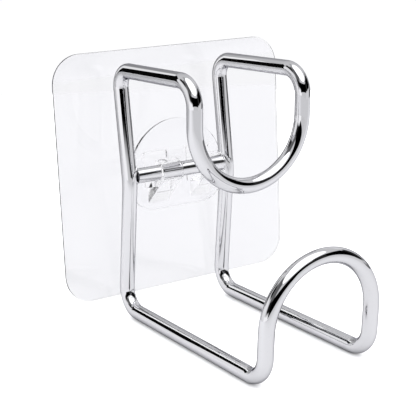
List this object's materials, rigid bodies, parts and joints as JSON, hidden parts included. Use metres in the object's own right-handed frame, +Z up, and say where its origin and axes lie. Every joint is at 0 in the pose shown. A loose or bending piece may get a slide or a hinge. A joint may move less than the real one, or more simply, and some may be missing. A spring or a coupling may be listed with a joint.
{
  "type": "hair dryer holder",
  "caption": "Wall holder for a hair dryer: a bent chrome rod frame, with a front cradle and a rear rest, snapped into a clear self-adhesive clip plate.",
  "frame": {"origin": "middle of the adhesive's back face, which is stuck to the wall", "axes": "+Y into the wall, square to the adhesive's back face; +Z up; +X to the right of a person who faces the wall"},
  "size_m": [0.109, 0.1041, 0.114],
  "materials": {
    "adhesive": "clear soft adhesive",
    "film": "clear glossy film with a faint cool tint",
    "clip": "clear moulded plastic, polished",
    "rod": "bright chrome plate on round steel rod",
    "weld": "chrome plate over weld metal"
  },
  "bodies": {
    "wall_base": {"adhesive_layer": "adhesive", "adhesive_sheet": "film", "clip_plate": "clip"},
    "sliding_bar": {"crossbar": "rod"},
    "loop_frame": {"wire_loop": "rod", "left_weld_bead": "weld", "right_weld_bead": "weld"}
  },
  "joints": [
    {"name": "frame_slide", "type": "slide", "parent": "wall_base", "child": "sliding_bar", "axis": [1, 0, 0], "range_m": [0, 0.0096]},
    {"name": "frame_tilt", "type": "hinge", "parent": "sliding_bar", "child": "loop_frame", "pos_m": [-0.0048, -0.0112, 0.0005], "axis": [-1, 0, 0], "range_deg": [0, 6.6]}
  ]
}
